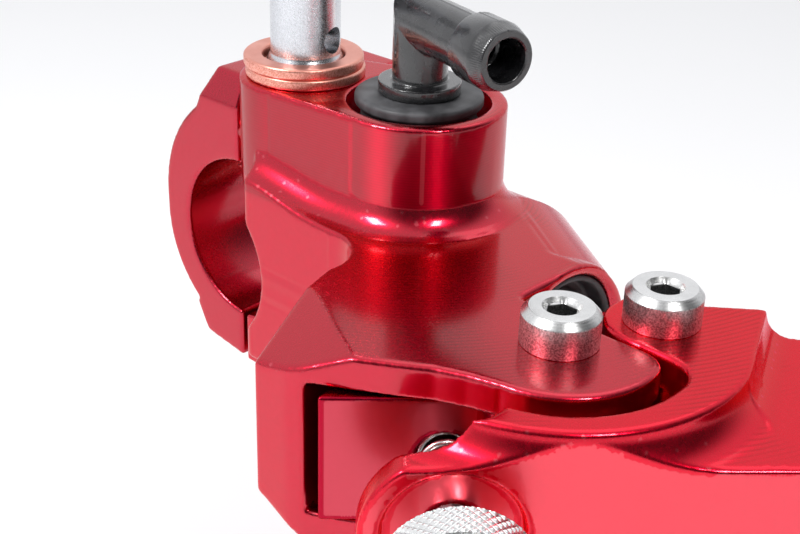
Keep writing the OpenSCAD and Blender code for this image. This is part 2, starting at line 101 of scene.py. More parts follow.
# ---- node graphs ----
class Graph:
    """A material's nodes, with short names for the ones used here."""

    def __init__(self, name):
        self.material = bpy.data.materials.new(name)
        self.material.use_nodes = True
        self.tree = self.material.node_tree
        self.tree.nodes.clear()
        self.out = self.add("ShaderNodeOutputMaterial")
        self.shader = self.add("ShaderNodeBsdfPrincipled")
        self.link(self.shader.outputs[0], self.out.inputs[0])
        self.place = self.add("ShaderNodeTexCoord").outputs["Object"]
        self.geometry = self.add("ShaderNodeNewGeometry").outputs

    def add(self, kind, **settings):
        node = self.tree.nodes.new(kind)
        for key, value in settings.items():
            setattr(node, key, value)
        return node

    def link(self, a, b):
        self.tree.links.new(a, b)

    def plug(self, value, socket):
        if isinstance(value, bpy.types.NodeSocket):
            self.link(value, socket)
        else:
            socket.default_value = value

    def math(self, operation, *values, clamp=False):
        node = self.add("ShaderNodeMath", operation=operation, use_clamp=clamp)
        for i, value in enumerate(values):
            self.plug(value, node.inputs[i])
        return node.outputs[0]

    def vector(self, operation, *values):
        node = self.add("ShaderNodeVectorMath", operation=operation)
        for i, value in enumerate(values):
            self.plug(value, node.inputs[i])
        return node.outputs[1 if operation in ("LENGTH", "DOT_PRODUCT", "DISTANCE") else 0]

    def parts(self, vector):
        node = self.add("ShaderNodeSeparateXYZ")
        self.link(vector, node.inputs[0])
        return node.outputs

    def noise(self, scale, detail=3.0, stretch=(1, 1, 1), at=None):
        node = self.add("ShaderNodeTexNoise")
        place = self.vector("MULTIPLY", at or self.place, stretch)
        self.link(place, node.inputs["Vector"])
        node.inputs["Scale"].default_value = scale
        node.inputs["Detail"].default_value = detail
        return node.outputs[0]

    def ramp(self, value, low, high, to_low=0.0, to_high=1.0):
        node = self.add("ShaderNodeMapRange")
        node.interpolation_type = "SMOOTHSTEP"
        for socket, number in zip(node.inputs, (value, low, high, to_low, to_high)):
            self.plug(number, socket)
        return node.outputs[0]

    def colours(self, factor, a, b):
        node = self.add("ShaderNodeMix", data_type="RGBA")
        self.plug(factor, node.inputs[0])
        self.plug(a if isinstance(a, bpy.types.NodeSocket) else (*a, 1), node.inputs[6])
        self.plug(b if isinstance(b, bpy.types.NodeSocket) else (*b, 1), node.inputs[7])
        return node.outputs[2]

    def blend(self, factor, a, b):
        node = self.add("ShaderNodeMix", data_type="FLOAT")
        for socket, value in zip((node.inputs[0], node.inputs[2], node.inputs[3]), (factor, a, b)):
            self.plug(value, socket)
        return node.outputs[0]

    def bump(self, height, depth, strength=1.0):
        node = self.add("ShaderNodeBump")
        node.inputs["Strength"].default_value = strength
        node.inputs["Distance"].default_value = depth
        self.link(height, node.inputs["Height"])
        self.link(node.outputs[0], self.shader.inputs["Normal"])

    def set(self, **values):
        for key, value in values.items():
            self.plug(value, self.shader.inputs[key.replace("_", " ")])

    def edges(self, low=0.52, high=0.6):
        """1 along convex edges, the mask for a painted edge highlight."""
        return self.ramp(self.geometry["Pointiness"], low, high)

    def waves(self, distance, pitch):
        return self.math("SINE", self.math("MULTIPLY", distance, 2 * math.pi / pitch))

    def radius(self, centre=(0, 0, 0)):
        """Distance from a line along Z."""
        x, y, _ = self.parts(self.vector("SUBTRACT", self.place, centre))
        return self.math("SQRT", self.math("ADD", self.math("MULTIPLY", x, x), self.math("MULTIPLY", y, y)))

    def rings(self, centre, pitch):
        """Fine grooves in circles about a line along Z, pitch in metres."""
        return self.waves(self.radius(centre), pitch)


# ---- materials ----
TURNING_PITCH = 0.00033
RING_PITCH = 0.00022
TOOL_DEPTH = 0.0000035


def red_anodised(name, arc_centre, arc_pitch, dye=0.56, coat=0.75, turned_above=1.0):
    """Bright red dyed aluminium: milled flats, turned walls above a height, a painted highlight on edges.
    """
    g = Graph(name)
    facing = g.math("ABSOLUTE", g.parts(g.geometry["Normal"])[2])
    flat = g.ramp(facing, 0.9, 0.98)
    wall = g.ramp(facing, 0.3, 0.1)
    height = g.parts(g.place)[2]
    turned = g.ramp(height, turned_above - 0.0005, turned_above)
    # tool marks: arcs on the flats, turning lines round the bosses, upright cuts on other walls
    arcs = g.rings(arc_centre, arc_pitch)
    milled = g.math("MULTIPLY", flat, g.ramp(g.noise(70, 2), 0.42, 0.62))
    upright_cuts = g.noise(2300, 4, (1, 1, 0.02))
    turning = g.blend(0.3, g.waves(height, TURNING_PITCH), g.noise(2600, 3, (0.05, 0.05, 1)))
    cuts = g.blend(turned, upright_cuts, turning)
    marks = g.math("ADD", g.math("MULTIPLY", milled, arcs), g.math("MULTIPLY", wall, cuts))
    fine = g.noise(9000, 2)
    g.bump(g.math("ADD", marks, g.math("MULTIPLY", fine, 0.35)), TOOL_DEPTH, 0.5)
    # dye, with a painted highlight along the edges
    lathed = g.math("MULTIPLY", wall, turned)
    base = g.colours(g.noise(1400, 4), (dye * 0.95, 0.001, 0.022), (dye * 1.06, 0.002, 0.028))
    scored = g.math("MULTIPLY", g.math("MULTIPLY", milled, g.ramp(arcs, -0.4, 1.0)), 0.6)
    ringed = g.math("MULTIPLY", g.math("MULTIPLY", lathed, g.ramp(cuts, 0.3, 0.8)), 0.3)
    base = g.colours(g.math("ADD", scored, ringed), base, (dye * 0.62, 0.0, 0.012))
    # painted highlight: convex edges are mixed towards a pale red
    base = g.colours(g.math("MULTIPLY", g.edges(0.56, 0.66), 0.3), base, (0.95, 0.20, 0.24))
    g.set(Base_Color=base, Metallic=1.0, IOR=1.6, Specular_Tint=(1.0, 0.3, 0.4, 1))
    # turning lines spread the light up and down
    rough = g.math("ADD", g.ramp(g.noise(1800, 3), 0.3, 0.7, 0.25, 0.29), g.math("MULTIPLY", wall, 0.03))
    g.set(Roughness=g.blend(lathed, rough, 0.5))
    g.set(Anisotropic=g.math("MULTIPLY", lathed, 0.93), Anisotropic_Rotation=0.25)
    g.set(Tangent=g.vector("NORMALIZE", g.vector("CROSS_PRODUCT", g.geometry["Normal"], (0.0, 0.0, 1.0))))
    g.set(Coat_Weight=coat, Coat_Roughness=0.13, Coat_IOR=1.6)
    return g.material


def turned_metal(name, dark, light, rough_side, rough_top, blasted, depth=0.000006, socket_r=0.0):
    """Plain metal turned about its own Z: rings on its ends, a blasted or drawn skin on its sides.

    A socket within socket_r of the axis is darkened with painted shade.
    """
    g = Graph(name)
    facing = g.math("ABSOLUTE", g.parts(g.geometry["Normal"])[2])
    end = g.ramp(facing, 0.4, 0.75)
    rings = g.rings((0, 0, 0), RING_PITCH)
    pits = g.noise(6200, 5)
    g.bump(g.blend(end, g.math("MULTIPLY", pits, blasted), g.math("MULTIPLY", rings, 0.18)), depth, 0.8)
    tone = g.blend(end, g.ramp(g.noise(5200, 4), 0.35, 0.65), g.noise(420, 4))
    # painted highlight: convex edges are mixed towards near white
    base = g.colours(g.math("MULTIPLY", g.edges(), 0.5), g.colours(tone, dark, light), (0.95, 0.95, 0.94))
    # painted shade: the inside of the socket, below its mouth, is darkened towards black
    deep = g.ramp(g.parts(g.place)[2], -0.0004, -0.0009)
    sunk = g.math("MULTIPLY", g.ramp(g.radius(), socket_r + 0.00005, socket_r), deep)
    base = g.colours(g.math("MULTIPLY", sunk, 0.72), base, (0.03, 0.03, 0.03))
    g.set(Base_Color=base, Metallic=1.0)
    g.set(Roughness=g.blend(end, g.ramp(pits, 0.3, 0.7, rough_side, rough_side + 0.12), rough_top))
    return g.material


def plain_metal(name, dark, light, rough, grain=900):
    """Machined or cast metal with soft stains, a fine grain and a painted highlight on its edges."""
    g = Graph(name)
    tone = g.noise(grain * 0.4, 5)
    g.bump(g.noise(grain * 6, 4), 0.000005, 0.5)
    # painted highlight: convex edges are mixed towards the light tone
    base = g.colours(g.math("MULTIPLY", g.edges(), 0.4), g.colours(tone, dark, light), light)
    g.set(Base_Color=base, Metallic=1.0, Roughness=g.ramp(g.noise(grain, 4), 0.3, 0.7, rough, rough + 0.14))
    return g.material


def soft_black(name, colour, rough, depth, grain, coat=0.0):
    """Rubber or moulded plastic: fine skin, faint dust, edges a little paler as a painted highlight."""
    g = Graph(name)
    tone = g.noise(grain * 0.15, 4)
    paler = tuple(c * 2.2 + 0.006 for c in colour)
    base = g.colours(g.ramp(tone, 0.35, 0.75), colour, paler)
    # painted highlight: convex edges are mixed towards grey
    base = g.colours(g.math("MULTIPLY", g.edges(0.53, 0.66), 0.3), base, (0.09, 0.09, 0.09))
    g.bump(g.noise(grain, 5), depth, 0.6)
    g.set(Base_Color=base, Metallic=0.0, IOR=1.5)
    g.set(Roughness=g.ramp(g.noise(grain * 0.3, 3), 0.3, 0.7, rough, rough + 0.12))
    g.set(Coat_Weight=coat, Coat_Roughness=0.12)
    return g.material


MATERIALS = {
    "red_body": red_anodised("red_body", (-0.004, 0.022, 0.0), 0.00062, turned_above=0.0122),
    "red_lever": red_anodised("red_lever", (-0.02, 0.02, 0.0), 0.0007, dye=0.76, coat=0.45),
    "red_carrier": red_anodised("red_carrier", (0.0, 0.0, 0.0), 0.0008, dye=0.43, coat=0.15),
    "red_clamp": red_anodised("red_clamp", (0.02, -0.02, 0.0), 0.0008, dye=0.49),
    "bolt_silver": turned_metal("bolt_silver", (0.64, 0.65, 0.68), (0.74, 0.75, 0.79), 0.2, 0.22, 0.08),
    "screw_silver": turned_metal(
        "screw_silver", (0.40, 0.40, 0.40), (0.95, 0.95, 0.94), 0.3, 0.27, 1.0,
        depth=0.00002, socket_r=0.0019),
    "knob_steel": turned_metal("knob_steel", (0.86, 0.86, 0.86), (0.95, 0.95, 0.94), 0.3, 0.22, 0.2),
    "copper": turned_metal(
        "copper", (0.74, 0.26, 0.19), (0.99, 0.50, 0.41), 0.34, 0.36, 0.6, depth=0.000012),
    "steel": plain_metal("steel", (0.42, 0.42, 0.43), (0.66, 0.66, 0.66), 0.28),
    "bronze": plain_metal("bronze", (0.45, 0.28, 0.10), (0.70, 0.50, 0.24), 0.32),
    "piston_metal": plain_metal("piston_metal", (0.60, 0.61, 0.62), (0.80, 0.80, 0.81), 0.25),
    "spring_wire": plain_metal("spring_wire", (0.74, 0.73, 0.71), (0.94, 0.93, 0.91), 0.16),
    "rubber": soft_black("rubber", (0.022, 0.022, 0.024), 0.46, 0.00002, 3200),
    "grommet_rubber": soft_black("grommet_rubber", (0.045, 0.045, 0.048), 0.44, 0.00002, 3200),
    "seal_rubber": soft_black("seal_rubber", (0.008, 0.008, 0.009), 0.4, 0.00001, 4000),
    "elbow_plastic": soft_black("elbow_plastic", (0.008, 0.008, 0.009), 0.2, 0.000006, 2200, coat=1.0),
}


# ---- making pieces ----
def finished(obj, node_or_body, material, sharp=30, replaces=()):
    """Gives a new piece its body, finish and shading."""
    body = BODY_OF.get(node_or_body, node_or_body)
    obj.data.materials.clear()
    obj.data.materials.append(MATERIALS[material])
    obj.data.polygons.foreach_set("use_smooth", [True] * len(obj.data.polygons))
    obj.data.set_sharp_from_angle(angle=math.radians(sharp))
    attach(obj, body)
    if replaces:
        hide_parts(*replaces)
    return obj


def linked(name, mesh):
    obj = bpy.data.objects.new(name, mesh)
    bpy.context.scene.collection.objects.link(obj)
    return obj


def new_object(name, verts_mm, faces, place=None):
    """Object from points in millimetres, in its own frame at place."""
    mesh = bpy.data.meshes.new(name)
    mesh.from_pydata([tuple(v) for v in np.asarray(verts_mm, float) * MM], [], faces)
    bm = bmesh.new()
    bm.from_mesh(mesh)
    bmesh.ops.recalc_face_normals(bm, faces=bm.faces)
    bm.to_mesh(mesh)
    bm.free()
    obj = linked(name, mesh)
    if place is not None:
        obj.matrix_world = place
    return obj


def points_of(mesh):
    """Vertices in millimetres."""
    flat = np.empty(len(mesh.vertices) * 3)
    mesh.vertices.foreach_get("co", flat)
    return flat.reshape(-1, 3) / MM


def move_points(mesh, points):
    mesh.vertices.foreach_set("co", (points * MM).ravel())
    mesh.update()


def place_at(point_mm, axis=(0, 0, 1)):
    """Frame whose Z runs along axis, at a point in millimetres."""
    turn = Vector(axis).to_track_quat("Z", "Y").to_matrix().to_4x4()
    return Matrix.Translation(Vector(point_mm) * MM) @ turn


def round_corners(points, radius, steps=3):
    """The same outline with its inner corners rounded."""
    made = [points[0]]
    for before, here, after in zip(points, points[1:], points[2:]):
        a, b, c = (np.array(p[:2], float) for p in (before, here, after))
        into, out = np.linalg.norm(b - a), np.linalg.norm(c - b)
        reach = min(radius, into * 0.45, out * 0.45)
        start, end = b + (a - b) / max(into, 1e-9) * reach, b + (c - b) / max(out, 1e-9) * reach
        for i in range(steps + 1):
            t = i / steps
            p = (1 - t) ** 2 * start + 2 * t * (1 - t) * b + t ** 2 * end
            made.append((p[0], p[1], *here[2:]))
    return made + [points[-1]]


def hexagon(angle):
    """How far a hexagon's edge lies out at an angle, where its flats are 1 from the middle."""
    return 1 / np.cos((angle + math.pi / 6) % (math.pi / 3) - math.pi / 6)


def lathe(name, profile, place, segments=144, closed=False, shape=None):
    """Profile of (radius, height[, "hex"]) turned about Z.

    shape(angle, radius, height) may alter the radius.
    """
    angles = np.linspace(0, 2 * math.pi, segments, endpoint=False)
    verts, rings = [], []
    for r, z, *kind in profile:
        radius = np.full(segments, float(r)) * (hexagon(angles) if kind else 1)
        if shape is not None:
            radius = shape(angles, radius, z)
        if r < 1e-6:
            rings.append([len(verts)] * segments)
            verts.append((0, 0, z))
            continue
        rings.append(list(range(len(verts), len(verts) + segments)))
        verts.extend(zip(radius * np.cos(angles), radius * np.sin(angles), np.full(segments, z)))
    pairs = list(zip(rings, rings[1:])) + ([(rings[-1], rings[0])] if closed else [])
    faces = []
    for low, high in pairs:
        for i in range(segments):
            j = (i + 1) % segments
            face = list(dict.fromkeys((low[i], low[j], high[j], high[i])))
            if len(face) > 2:
                faces.append(face)
    return new_object(name, verts, faces, place)


def tube(name, points, radius, sides=20):
    """Round wire along points in millimetres, with closed ends."""
    points = np.asarray(points, float)
    along = np.gradient(points, axis=0)
    along /= np.linalg.norm(along, axis=1)[:, None]
    side = np.cross(along, UP)
    side /= np.linalg.norm(side, axis=1)[:, None]
    other = np.cross(along, side)
    turn = np.linspace(0, 2 * math.pi, sides, endpoint=False)
    verts = [
        p + radius * (math.cos(a) * s + math.sin(a) * o)
        for p, s, o in zip(points, side, other) for a in turn
    ]
    faces = [
        (i * sides + k, (i + 1) * sides + k, (i + 1) * sides + (k + 1) % sides, i * sides + (k + 1) % sides)
        for i in range(len(points) - 1) for k in range(sides)
    ]
    faces += [tuple(range(sides)), tuple(range((len(points) - 1) * sides, len(points) * sides))]
    return new_object(name, verts, faces)


def cut(obj, cutter):
    """Takes cutter's shape out of obj."""
    modifier = obj.modifiers.new("cut", "BOOLEAN")
    modifier.operation = "DIFFERENCE"
    modifier.solver = "EXACT"
    modifier.object = cutter
    settle(obj)
    bpy.data.objects.remove(cutter)
    return obj


def settle(obj):
    """Turns an object's modifiers into its mesh."""
    bpy.context.view_layer.update()
    graph = bpy.context.evaluated_depsgraph_get()
    obj.data = bpy.data.meshes.new_from_object(obj.evaluated_get(graph))
    obj.modifiers.clear()


# ---- true shapes that a finely remeshed CAD piece is fitted to ----
# Each gives, for points in millimetres, the distance from the surface and the way out of it,
# together with how far a point may be moved to reach it.
NEAR = 0.16


def round_bar(point, axis, radius):
    axis = np.array(axis, float) / np.linalg.norm(axis)

    def measure(p):
        away = p - np.array(point, float)
        away = away - np.outer(away @ axis, axis)
        length = np.linalg.norm(away, axis=1)
        return length - radius, away / np.maximum(length, 1e-9)[:, None]
    return measure, NEAR


def upright(at, radius):
    return round_bar((at[0], at[1], 0), UP, radius)


def plate_rim(at, radius, z, c):
    """Upright round wall, but only beyond z from the middle plane and short of c along the diagonal."""
    whole, near = upright(at, radius)

    def measure(p):
        distance, out = whole(p)
        return np.where((np.abs(p[:, 2]) > z) & (p @ DIAGONAL < c), distance, 9), out
    return measure, near


def front_wall(c, near=0.25):
    """Flat wall square to the diagonal."""
    def measure(p):
        return p @ DIAGONAL - c, np.tile(DIAGONAL, (len(p), 1))
    return measure, near


def level(z, near=0.3):
    """The two flats at z above and below the middle plane."""
    def measure(p):
        return np.abs(p[:, 2]) - z, np.sign(p[:, 2])[:, None] * UP
    return measure, near


def cove_ring(centre, ring_r, z, radius):
    """Hollow of a round section that runs round a line along Z, the same above and below."""
    def measure(p):
        flat = p[:, :2] - centre
        ring = np.linalg.norm(flat, axis=1)
        across, up = ring - ring_r, np.abs(p[:, 2]) - z
        length = np.where((across < 0.3) & (up < 0), np.hypot(across, up), 99)
        scale = np.maximum(length, 1e-9)
        out = flat / np.maximum(ring, 1e-9)[:, None] * (across / scale)[:, None]
        return length - radius, np.column_stack([out, np.sign(p[:, 2]) * up / scale])
    return measure, NEAR


EASE = 0.5                          # share of the way to its neighbours' mean that a vertex goes at once
SOFT_STEPS = 16
BUMP_STEPS, BUMP_SHARE = 8, 0.6
BUMP_SIZE = 0.24                    # in voxels
ALIGNED_FROM, ALIGNED_SPAN = 0.965, 0.025       # cosine between a vertex's normal and the surface's
FADE = 0.08                         # width over which the fitting sets in, in millimetres


def fine_copy(name, node, voxel, relax, shapes, extra=None, soft=None):
    """A CAD node remeshed finely, its edges eased by relaxing it and its round faces made true.

    extra is joined to it first, and soft(points) gives the share of further easing
    where it is smooth all over.
    """
    bm = bmesh.new()
    bm.from_mesh(NODES[node].data)
    if extra is not None:
        bm.from_mesh(extra.data)
        bpy.data.objects.remove(extra)
    bmesh.ops.remove_doubles(bm, verts=bm.verts, dist=2e-6)
    mesh = bpy.data.meshes.new(name)
    bm.to_mesh(mesh)
    bm.free()
    obj = linked(name, mesh)
    modifier = obj.modifiers.new("remesh", "REMESH")
    modifier.mode = "VOXEL"
    modifier.voxel_size = voxel * MM
    settle(obj)
    mesh = obj.data
    points = points_of(mesh)
    count = len(points)
    ends = np.empty(len(mesh.edges) * 2, np.int64)
    mesh.edges.foreach_get("vertices", ends)
    a, b = ends.reshape(-1, 2).T
    neighbours = np.maximum(np.bincount(a, minlength=count) + np.bincount(b, minlength=count), 1)

    def around(values):
        """Mean of each vertex's neighbours."""
        return (np.bincount(a, values[b], count) + np.bincount(b, values[a], count)) / neighbours

    def pull():
        return np.column_stack([around(points[:, k]) for k in range(3)]) - points

    for _ in range(relax):
        points += EASE * pull()
    if soft is not None:
        share = soft(points)[:, None]
        for _ in range(SOFT_STEPS):
            points += EASE * share * pull()
    # small bumps that are left stand out by more than a rounded edge does
    for _ in range(BUMP_STEPS):
        way = pull()
        bumpy = np.clip(np.linalg.norm(way, axis=1) / (BUMP_SIZE * voxel) - 1, 0, 1)
        points += BUMP_SHARE * bumpy[:, None] * way
    move_points(mesh, points)
    normals = np.empty(count * 3)
    mesh.vertex_normals.foreach_get("vector", normals)
    normals = normals.reshape(-1, 3)
    for measure, reach in shapes:
        distance, out = measure(points)
        cosine = np.abs((normals * out).sum(1))
        aligned = np.clip((cosine - ALIGNED_FROM) / ALIGNED_SPAN, 0, 1)
        for _ in range(4):
            aligned = (aligned + around(aligned)) / 2
        near = np.clip((reach - np.abs(distance)) / FADE, 0, 1)
        points -= (distance * near * aligned)[:, None] * out
    move_points(mesh, points)
    return obj


# ---- the fillet that a ball leaves as it rolls round the bosses' foot ----
NO_GROUND = -50.0
FOOT_RISE = 1.9                     # how far the ground climbs towards the clamp
BALL_STEPS = 61                     # places across the ball at which its height over the ground is taken


def arch(distance, radius):
    """Height of a round bar at a distance from its line."""
    height = np.sqrt(np.maximum(radius ** 2 - distance ** 2, 0))
    return np.where(np.abs(distance) < radius, height, NO_GROUND)


def ground(x, y):
    """Height of the body round the bosses: its flat top, the cylinder, the shoulder and the clamp."""
    east, north = x - SHOULDER[0], y - SHOULDER[1]
    bent = east * math.cos(SHOULDER_TURN) - north * math.sin(SHOULDER_TURN)
    beyond = north * math.cos(SHOULDER_TURN / 2) + east * math.sin(SHOULDER_TURN / 2) > 0
    far_edge = 34 + (x + 10.2) * 1.472
    flat = (x > -11) & ((y > WALL[1]) | (x > WALL_INNER_X)) & (y < far_edge)
    t = np.clip((21 - y) / 13, 0, 1)
    rise = np.where(x > 2, FOOT_RISE * t * t * (3 - 2 * t), 0)
    layers = [
        np.where(flat, HALF_H + rise, NO_GROUND),
        np.where(y > 12, arch(x, CYLINDER_R), NO_GROUND),
        np.where(~beyond & (y > 10), arch(east, SHOULDER_R[0]), NO_GROUND),
        np.where(beyond, arch(bent, SHOULDER_R[1]), NO_GROUND),
        np.where(x < WALL_INNER_X, arch(y, CLAMP_R), NO_GROUND),
    ]
    return np.maximum.reduce(layers)


def boss_path(steps):
    """Points and outward normals round both bosses, as one belt."""
    span = INLET - OUTLET
    way = math.atan2(span[1], span[0])
    tilt = math.acos((OUTLET_R - INLET_R) / np.linalg.norm(span))
    angles_in = np.linspace(way - tilt, way + tilt, steps)
    angles_out = np.linspace(way + tilt, way - tilt + 2 * math.pi, steps)
    made = []
    for centre, radius, angles in ((INLET, INLET_R, angles_in), (OUTLET, OUTLET_R, angles_out)):
        for angle in angles:
            out = np.array([math.cos(angle), math.sin(angle)])
            made.append((centre + radius * out, out))
    # the straight stretches between the two
    full = []
    for (p, n), (q, _) in zip(made, made[1:] + made[:1]):
        gap = int(np.linalg.norm(q - p) / 0.4)
        full += [(p + (q - p) * i / max(gap, 1), n) for i in range(max(gap, 1))]
    return full


def rolled(values):
    """Each value averaged with its neighbours round the path."""
    return (np.roll(values, 1, 0) + values * 2 + np.roll(values, -1, 0)) / 4


def ball_places(path, sunk):
    """Where the ball's middle lies along the path, and the way to the ground that it touches."""
    disc = np.linspace(-FOOT_R, FOOT_R, BALL_STEPS)
    gx, gy = np.meshgrid(disc, disc)
    inside = gx ** 2 + gy ** 2 < FOOT_R ** 2 * 0.998
    gx, gy = gx[inside], gy[inside]
    dome = np.sqrt(FOOT_R ** 2 - gx ** 2 - gy ** 2)
    centres, contacts = [], []
    for p, n in path:
        middle_xy = p + (FOOT_R - sunk) * n
        height = ground(middle_xy[0] + gx, middle_xy[1] + gy) + dome
        best = int(np.argmax(height))
        centres.append((*middle_xy, height[best] - sunk))
        contacts.append((gx[best], gy[best], -dome[best]))
    centres, contacts = np.array(centres), np.array(contacts)
    # even out the steps left by the sampled disc
    for _ in range(30):
        contacts = rolled(contacts)
        centres[:, 2] = rolled(centres[:, 2])
    return centres, contacts / np.linalg.norm(contacts, axis=1)[:, None]


def end_at_wall(verts):
    """Keeps the fillet inside the flat side wall and its round corner."""
    skin = 0.03
    start_y = WALL[1] + 0.04
    beyond = (verts[:, 0] > WALL_INNER_X) & (verts[:, 1] < start_y)
    verts[:, 0] = np.minimum(verts[:, 0], WALL[0] - skin)
    verts[:, 1] = np.where(beyond, start_y, verts[:, 1])
    corner = np.array([WALL[0] - WALL_R, WALL[1] + WALL_R])
    rel = verts[:, :2] - corner
    away = np.linalg.norm(rel, axis=1)
    outside = (rel[:, 0] > 0) & (rel[:, 1] < 0) & (away > WALL_R - skin)
    scale = np.where(outside, (WALL_R - skin) / np.maximum(away, 1e-9), 1)
    verts[:, :2] = corner + rel * scale[:, None]


def foot_fillet():
    """Closed strip whose upper side is the ball's hollow."""
    steps = 14
    under = 1.6                     # how far the strip reaches into the body
    path = boss_path(110)
    # the fillet dips a little into both faces, so that they join cleanly
    centres, contacts = ball_places(path, 0.05)
    verts = []
    for (_, n), c, s in zip(path, centres, contacts):
        w = np.array([-n[0], -n[1], 0])
        angle = math.acos(float(np.clip(w @ s, -1, 1)))
        for i in range(steps + 1):
            t = i / steps
            d = (math.sin((1 - t) * angle) * w + math.sin(t * angle) * s) / math.sin(angle)
            verts.append(c + FOOT_R * d)
        foot_z = c[2] + FOOT_R * s[2]
        verts.append(c + (FOOT_R + under + max(0, foot_z - HALF_H)) * s)
        deep = c + (FOOT_R + 1.5) * w
        verts.append((deep[0], deep[1], min(foot_z - under, 10)))
        verts.append(deep)
    verts = np.array(verts)
    end_at_wall(verts)
    ring, count = steps + 4, len(path)
    faces = []
    for i in range(count):
        here, there = i * ring, (i + 1) % count * ring
        for k in range(ring):
            after = (k + 1) % ring
            faces.append((here + k, there + k, there + after, here + after))
    return new_object("foot_fillet", verts, faces)


def belt(p):
    """Distance from the belt round both bosses."""
    span = INLET - OUTLET
    length = np.linalg.norm(span)
    slope = (OUTLET_R - INLET_R) / length
    u = span / length
    rel = p[:, :2] - OUTLET
    across = np.abs(rel @ np.array([-u[1], u[0]]))
    t = np.clip((rel @ u + across * slope / math.sqrt(1 - slope ** 2)) / length, 0, 1)
    distance = np.linalg.norm(rel - t[:, None] * span, axis=1)
    return distance - OUTLET_R - t * (INLET_R - OUTLET_R)


def foot_zone(p):
    """1 on the fillet round the bosses' foot, which is smooth all over."""
    distance, z = belt(p), p[:, 2]
    beside = (distance > 0.2) & (distance < 4.4)
    return (beside & (z > 10.9) & (z < 17.5) & (p[:, 0] < WALL[0] - 0.5)).astype(float)


# ---- body, clamp, carrier and lever ----
def make_body():
    centre, across, along = (0, 0, 0), (1, 0, 0), (0, 1, 0)
    bent = (math.sin(SHOULDER_TURN), math.cos(SHOULDER_TURN), 0)
    recess_r, hub_r, mouth_r, bore_r = 8.7, 10.8, 10.4, 8.0
    shapes = [
        upright(INLET, INLET_R), upright(OUTLET, OUTLET_R), upright(INLET, recess_r), upright(PIVOT, hub_r),
        upright((WALL[0] + COVE_R, 24.6), COVE_R),
        upright((WALL[0] - WALL_R, WALL[1] + WALL_R), WALL_R),
        round_bar(centre, across, BAR_R), round_bar(centre, across, CLAMP_R),
        round_bar(centre, along, CYLINDER_R), round_bar(centre, along, mouth_r),
        round_bar(centre, along, bore_r),
        round_bar(SHOULDER, along, SHOULDER_R[0]), round_bar(SHOULDER, bent, SHOULDER_R[1]), level(HALF_H),
    ]
    obj = fine_copy("body_shell", "body", 0.24, 10, shapes, foot_fillet(), foot_zone)
    finished(obj, "body", "red_body", 60, ["body"])


def make_clamp():
    shoulder_r = 17.85
    shapes = [
        round_bar((0, 0, 0), (1, 0, 0), BAR_R), round_bar((0, 0, 0), (1, 0, 0), CLAMP_R),
        round_bar((0, 2.1, 2.6), (1, 0, 0), shoulder_r),
    ]
    obj = fine_copy("clamp_half", "bar_clamp", 0.26, 8, shapes)
    finished(obj, "bar_clamp", "red_clamp", 60, ["bar_clamp"])


def make_carrier():
    posts = [upright(PIVOT, 8.2), upright(REACH, 5.6)]
    trunnion_way, spring_way = upright((0, 57.6), 4.3), round_bar(KNOB_AXIS, DIAGONAL, 3.2)
    shapes = posts + [trunnion_way, spring_way]
    obj = fine_copy("carrier_block", "lever_carrier", 0.22, 8, shapes)
    finished(obj, "lever_carrier", "red_carrier", 60, ["lever_carrier"])


def slot_corners():
    """Round inner corners of the plates' slots, next to the lug."""
    lug_x, slot_r, corner_r = 8.5, 13.7, 3.5
    middle_x = lug_x + corner_r
    middle_y = PIVOT[1] + math.sqrt((slot_r - corner_r) ** 2 - (middle_x - PIVOT[0]) ** 2)
    angles = np.radians(np.linspace(99, 180, 15))
    arc = [(middle_x + corner_r * math.cos(a), middle_y + corner_r * math.sin(a)) for a in angles]
    outline = arc + [(lug_x - 1, middle_y), (lug_x - 1, middle_y + 4.3), (arc[0][0], middle_y + 4.3)]
    verts, faces, n = [], [], len(outline)
    for side in (-1, 1):
        base = len(verts)
        verts += [(x, y, side * z) for z in (BLADE_HALF - 0.6, HALF_H) for x, y in outline]
        faces += [(base + i, base + (i + 1) % n, base + n + (i + 1) % n, base + n + i) for i in range(n)]
        faces += [tuple(range(base, base + n)), tuple(range(base + n, base + 2 * n))]
    return new_object("slot_corners", verts, faces)


def make_lever():
    centre, disc_r = DISC
    cove = HALF_H - BLADE_HALF
    # two ends of the plates' edge on the blade's back
    start, corner = np.array([3.6, 75.2, 0]), np.array([-8.3, 70.1, 0])
    way = (corner - start) / np.linalg.norm(corner - start)
    side = np.cross(UP, way) * -cove
    above, below = start + side + UP * HALF_H, start + side - UP * HALF_H
    shapes = [
        plate_rim(centre, disc_r, BLADE_HALF + 0.3, FRONT_C - 0.5), front_wall(FRONT_C),
        cove_ring(centre, disc_r + cove, HALF_H, cove),
        upright(PIVOT, 13.7), upright(PIVOT, 14.0), upright(REACH, 6.1),
        round_bar(KNOB_AXIS, DIAGONAL, 9.2), round_bar(KNOB_AXIS, DIAGONAL, 6.9),
        round_bar(above, way, cove), round_bar(below, way, cove), level(HALF_H),
    ]
    obj = fine_copy("lever_blade", "lever", 0.23, 11, shapes, slot_corners())
    finished(obj, "lever", "red_lever", 60, ["lever"])


# ---- screws and bolts ----
def make_pivot_screw(name, node):
    """Screw with a chamfered head and a hexagon socket; heights are counted from the head's top."""
    lo, hi = box_mm(node)
    head_r = (hi[0] - lo[0]) / 2
    head_z, tip_z = -4.1, -NODES[node].dimensions.z / MM
    shank_r = 3.0 if node == "pivot_screw" else 2.3
    socket = [(0, -2.9), (1.5, -2.9, "hex"), (1.5, -0.66, "hex"), (1.76, -0.55), (2.06, 0.0)]
    outer = round_corners([
        (2.06, 0.0), (head_r - 0.72, 0.0), (head_r, -0.8), (head_r, head_z + 0.06), (head_r - 0.12, head_z),
        (shank_r, head_z), (shank_r, tip_z + 0.5), (shank_r - 0.5, tip_z),
    ], 0.07)
    centre = (lo + hi) / 2
    obj = lathe(name, socket + outer + [(0, tip_z)], place_at((centre[0], centre[1], hi[2])))
    finished(obj, node, "screw_silver", 25, [node])


